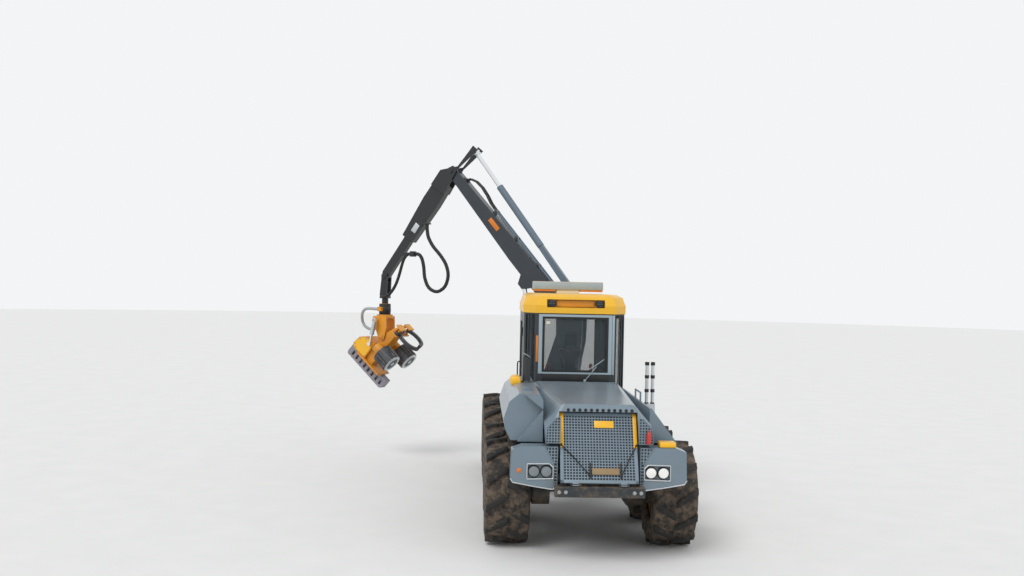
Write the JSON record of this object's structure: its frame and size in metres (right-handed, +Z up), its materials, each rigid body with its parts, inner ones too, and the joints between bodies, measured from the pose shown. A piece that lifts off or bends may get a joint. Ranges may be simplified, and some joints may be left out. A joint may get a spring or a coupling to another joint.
{
  "type": "eight-wheeled forestry harvester",
  "caption": "Hinged-frame forestry harvester on four bogies, with glazed cab, engine hood behind, slewing crane, telescopic jib and tilting felling head.",
  "frame": {"origin": "ground level, middle of the machine's overall box seen from above, crane out to the left", "axes": "+Y forward along the machine, +X to its right, +Z up"},
  "size_m": [5.2967, 8.28, 5.8499],
  "materials": {
    "frame_grey": "satin dark grey paint",
    "engine_grey": "cast and painted",
    "body_blue_grey": "satin blue-grey paint",
    "grille_black": "black perforated sheet",
    "exhaust_steel": "heat-stained steel",
    "ladder_aluminium": "extruded aluminium",
    "tyre_black": "rubber with dry mud",
    "rim_yellow": "painted rim, muddy",
    "cylinder_dark": "dark paint",
    "rod_chrome": "hard chrome",
    "cab_dark": "dark grey paint",
    "roof_yellow": "bright yellow paint",
    "cab_glass": "tinted safety glass",
    "seat_fabric": "woven fabric",
    "crane_dark": "dark blue-grey paint",
    "head_orange": "orange-yellow paint, worn",
    "tilt_silver": "bare steel",
    "saw_grey": "grey paint, scraped",
    "tool_steel": "scraped dark steel",
    "hose_black": "wrapped hose bundle"
  },
  "bodies": {
    "rear_unit": {"rear_frame": "frame_grey", "rear_axle": "frame_grey", "engine_block": "engine_grey", "hood": "body_blue_grey", "left_side_body": "body_blue_grey", "right_side_body": "body_blue_grey", "rear_fenders": "body_blue_grey", "exhaust_pipe": "exhaust_steel", "service_ladder": "ladder_aluminium"},
    "grille_gate": {"rear_grille": "grille_black"},
    "front_unit": {"front_frame": "frame_grey", "front_axle": "frame_grey", "cab_body": "cab_dark", "cab_roof": "roof_yellow", "cab_glass": "cab_glass", "operator_seat": "seat_fabric", "crane_base": "crane_dark"},
    "door": {"cab_door": "cab_dark", "door_glass": "cab_glass"},
    "wheel_rear_left_1": {"tyre_rear_left_1": "tyre_black", "rim_rear_left_1": "rim_yellow"},
    "wheel_rear_left_2": {"tyre_rear_left_2": "tyre_black", "rim_rear_left_2": "rim_yellow"},
    "wheel_rear_right_1": {"tyre_rear_right_1": "tyre_black", "rim_rear_right_1": "rim_yellow"},
    "wheel_rear_right_2": {"tyre_rear_right_2": "tyre_black", "rim_rear_right_2": "rim_yellow"},
    "wheel_front_left_1": {"tyre_front_left_1": "tyre_black", "rim_front_left_1": "rim_yellow"},
    "wheel_front_left_2": {"tyre_front_left_2": "tyre_black", "rim_front_left_2": "rim_yellow"},
    "wheel_front_right_1": {"tyre_front_right_1": "tyre_black", "rim_front_right_1": "rim_yellow"},
    "wheel_front_right_2": {"tyre_front_right_2": "tyre_black", "rim_front_right_2": "rim_yellow"},
    "steer_barrel_left": {"steer_barrel_left": "cylinder_dark"},
    "steer_rod_left": {"steer_rod_left": "rod_chrome"},
    "steer_barrel_right": {"steer_barrel_right": "cylinder_dark"},
    "steer_rod_right": {"steer_rod_right": "rod_chrome"},
    "crane_pillar": {"crane_pillar": "crane_dark"},
    "main_boom": {"main_boom": "crane_dark"},
    "lift_barrel": {"lift_barrel": "cylinder_dark"},
    "lift_rod": {"lift_rod": "rod_chrome"},
    "link_barrel": {"link_barrel": "cylinder_dark"},
    "jib_rod": {"jib_rod": "rod_chrome"},
    "jib": {"jib": "crane_dark", "loop_hose": "hose_black"},
    "extension": {"extension": "crane_dark", "drop_hose": "hose_black"},
    "tip_link": {"tip_link": "crane_dark"},
    "rotator": {"rotator": "head_orange", "head_hose": "hose_black"},
    "tilt_barrel": {"tilt_barrel": "tilt_silver"},
    "tilt_rod": {"tilt_rod": "rod_chrome"},
    "head": {"head_frame": "head_orange", "saw_box": "saw_grey"},
    "roller_left": {"feed_roller_left": "tool_steel"},
    "knife_left": {"knife_left": "tool_steel"},
    "roller_right": {"feed_roller_right": "tool_steel"},
    "knife_right": {"knife_right": "tool_steel"}
  },
  "joints": [
    {"name": "wheel_rear_left_1_spin", "type": "hinge", "parent": "rear_unit", "child": "wheel_rear_left_1", "pos_m": [0.22, -2.7, 0.68], "axis": [-1, 0, 0], "continuous": true},
    {"name": "wheel_rear_left_2_spin", "type": "hinge", "parent": "rear_unit", "child": "wheel_rear_left_2", "pos_m": [0.22, -1.2, 0.68], "axis": [-1, 0, 0], "continuous": true},
    {"name": "wheel_rear_right_1_spin", "type": "hinge", "parent": "rear_unit", "child": "wheel_rear_right_1", "pos_m": [2.36, -2.7, 0.68], "axis": [-1, 0, 0], "continuous": true},
    {"name": "wheel_rear_right_2_spin", "type": "hinge", "parent": "rear_unit", "child": "wheel_rear_right_2", "pos_m": [2.36, -1.2, 0.68], "axis": [-1, 0, 0], "continuous": true},
    {"name": "wheel_front_left_1_spin", "type": "hinge", "parent": "front_unit", "child": "wheel_front_left_1", "pos_m": [0.22, 1.5, 0.68], "axis": [-1, 0, 0], "continuous": true},
    {"name": "wheel_front_left_2_spin", "type": "hinge", "parent": "front_unit", "child": "wheel_front_left_2", "pos_m": [0.22, 3, 0.68], "axis": [-1, 0, 0], "continuous": true},
    {"name": "wheel_front_right_1_spin", "type": "hinge", "parent": "front_unit", "child": "wheel_front_right_1", "pos_m": [2.36, 1.5, 0.68], "axis": [-1, 0, 0], "continuous": true},
    {"name": "wheel_front_right_2_spin", "type": "hinge", "parent": "front_unit", "child": "wheel_front_right_2", "pos_m": [2.36, 3, 0.68], "axis": [-1, 0, 0], "continuous": true},
    {"name": "steer", "type": "hinge", "parent": "rear_unit", "child": "front_unit", "pos_m": [1.29, 0, 0.845], "axis": [0, 0, 1], "range_deg": [-40, 40]},
    {"name": "steer_cylinder_swing_left", "type": "hinge", "parent": "rear_unit", "child": "steer_barrel_left", "pos_m": [0.86, -0.62, 1.11], "axis": [0, 0, 1], "range_deg": [-17, 17]},
    {"name": "steer_cylinder_stroke_left", "type": "slide", "parent": "steer_barrel_left", "child": "steer_rod_left", "axis": [0, 1, 0], "range_m": [-0.31, 0.31]},
    {"name": "steer_cylinder_swing_right", "type": "hinge", "parent": "rear_unit", "child": "steer_barrel_right", "pos_m": [1.72, -0.62, 1.11], "axis": [0, 0, 1], "range_deg": [-17, 17]},
    {"name": "steer_cylinder_stroke_right", "type": "slide", "parent": "steer_barrel_right", "child": "steer_rod_right", "axis": [0, 1, 0], "range_m": [-0.31, 0.31]},
    {"name": "door_swing", "type": "hinge", "parent": "front_unit", "child": "door", "pos_m": [0.497, 0.142, 2], "axis": [0, 0, 1], "range_deg": [0, 80]},
    {"name": "gate_swing", "type": "hinge", "parent": "rear_unit", "child": "grille_gate", "pos_m": [1.29, -4.108, 1.022], "axis": [1, 0, 0], "range_deg": [0, 110]},
    {"name": "slew", "type": "hinge", "parent": "front_unit", "child": "crane_pillar", "pos_m": [1.29, 2.05, 1.36], "axis": [0, 0, 1], "range_deg": [-180, 50]},
    {"name": "boom_lift", "type": "hinge", "parent": "crane_pillar", "child": "main_boom", "pos_m": [1.38063, 2.00774, 2.78], "axis": [0.4226, 0.9063, 0], "range_deg": [-40, 12]},
    {"name": "lift_cylinder_swing", "type": "hinge", "parent": "crane_pillar", "child": "lift_barrel", "pos_m": [0.9456, 2.21059, 1.7], "axis": [0.4226, 0.9063, 0], "range_deg": [-18, 8]},
    {"name": "lift_cylinder_stroke", "type": "slide", "parent": "lift_barrel", "child": "lift_rod", "axis": [-0.1935, 0.0902, 0.9769], "range_m": [-0.6, 0.25]},
    {"name": "link_swing", "type": "hinge", "parent": "crane_pillar", "child": "link_barrel", "pos_m": [1.58002, 1.91476, 3.07], "axis": [0.4226, 0.9063, 0], "range_deg": [-42, 16]},
    {"name": "jib_swing", "type": "hinge", "parent": "main_boom", "child": "jib", "pos_m": [-0.68575, 2.97131, 5.4], "axis": [-0.4226, -0.9063, 0], "range_deg": [-60, 25]},
    {"name": "jib_cylinder_stroke", "type": "slide", "parent": "link_barrel", "child": "jib_rod", "axis": [-0.5523, 0.2576, 0.7928], "range_m": [-0.5, 0.25]},
    {"name": "extension_slide", "type": "slide", "parent": "jib", "child": "extension", "axis": [-0.5185, 0.2418, -0.8202], "range_m": [0, 0.6]},
    {"name": "tip_swing", "type": "hinge", "parent": "extension", "child": "tip_link", "pos_m": [-1.91833, 3.54607, 3.45], "axis": [0.4226, 0.9063, 0], "range_deg": [-40, 50]},
    {"name": "rotator_spin", "type": "hinge", "parent": "tip_link", "child": "rotator", "pos_m": [-1.93646, 3.55452, 2.95], "axis": [0, 0, 1], "continuous": true},
    {"name": "head_tilt", "type": "hinge", "parent": "rotator", "child": "head", "pos_m": [-1.91199, 3.54311, 2.343], "axis": [0.4226, 0.9063, 0], "range_deg": [-42, 40]},
    {"name": "tilt_cylinder_swing", "type": "hinge", "parent": "rotator", "child": "tilt_barrel", "pos_m": [-1.99083, 3.57988, 2.64], "axis": [0.4226, 0.9063, 0], "range_deg": [-17, 16]},
    {"name": "tilt_cylinder_stroke", "type": "slide", "parent": "tilt_barrel", "child": "tilt_rod", "axis": [-0.2009, 0.0937, -0.9751], "range_m": [-0.12, 0.25]},
    {"name": "roller_spin_left", "type": "hinge", "parent": "head", "child": "roller_left", "pos_m": [-1.56783, 3.74674, 1.95162], "axis": [-0.6735, 0.3141, 0.6691], "continuous": true},
    {"name": "knife_swing_left", "type": "hinge", "parent": "head", "child": "knife_left", "pos_m": [-1.50161, 3.56139, 2.41912], "axis": [0.6064, -0.2828, 0.7431], "range_deg": [0, 50]},
    {"name": "roller_spin_right", "type": "hinge", "parent": "head", "child": "roller_right", "pos_m": [-1.84676, 3.14858, 1.95162], "axis": [-0.6735, 0.3141, 0.6691], "continuous": true},
    {"name": "knife_swing_right", "type": "hinge", "parent": "head", "child": "knife_right", "pos_m": [-1.6622, 3.21699, 2.41912], "axis": [-0.6064, 0.2828, -0.7431], "range_deg": [0, 50]}
  ],
  "couplings": [
    {"joint": "steer_cylinder_swing_left", "follows": "steer", "ratio": 0.4},
    {"joint": "steer_cylinder_stroke_left", "follows": "steer", "m_per_rad": -0.42},
    {"joint": "steer_cylinder_swing_right", "follows": "steer", "ratio": 0.4},
    {"joint": "steer_cylinder_stroke_right", "follows": "steer", "m_per_rad": 0.42},
    {"joint": "lift_cylinder_swing", "follows": "boom_lift", "ratio": 0.42},
    {"joint": "lift_cylinder_stroke", "follows": "boom_lift", "m_per_rad": 0.83},
    {"joint": "link_swing", "follows": "boom_lift", "ratio": 1},
    {"joint": "jib_cylinder_stroke", "follows": "jib_swing", "m_per_rad": 0.46},
    {"joint": "tilt_cylinder_swing", "follows": "head_tilt", "ratio": 0.39},
    {"joint": "tilt_cylinder_stroke", "follows": "head_tilt", "m_per_rad": -0.15}
  ]
}
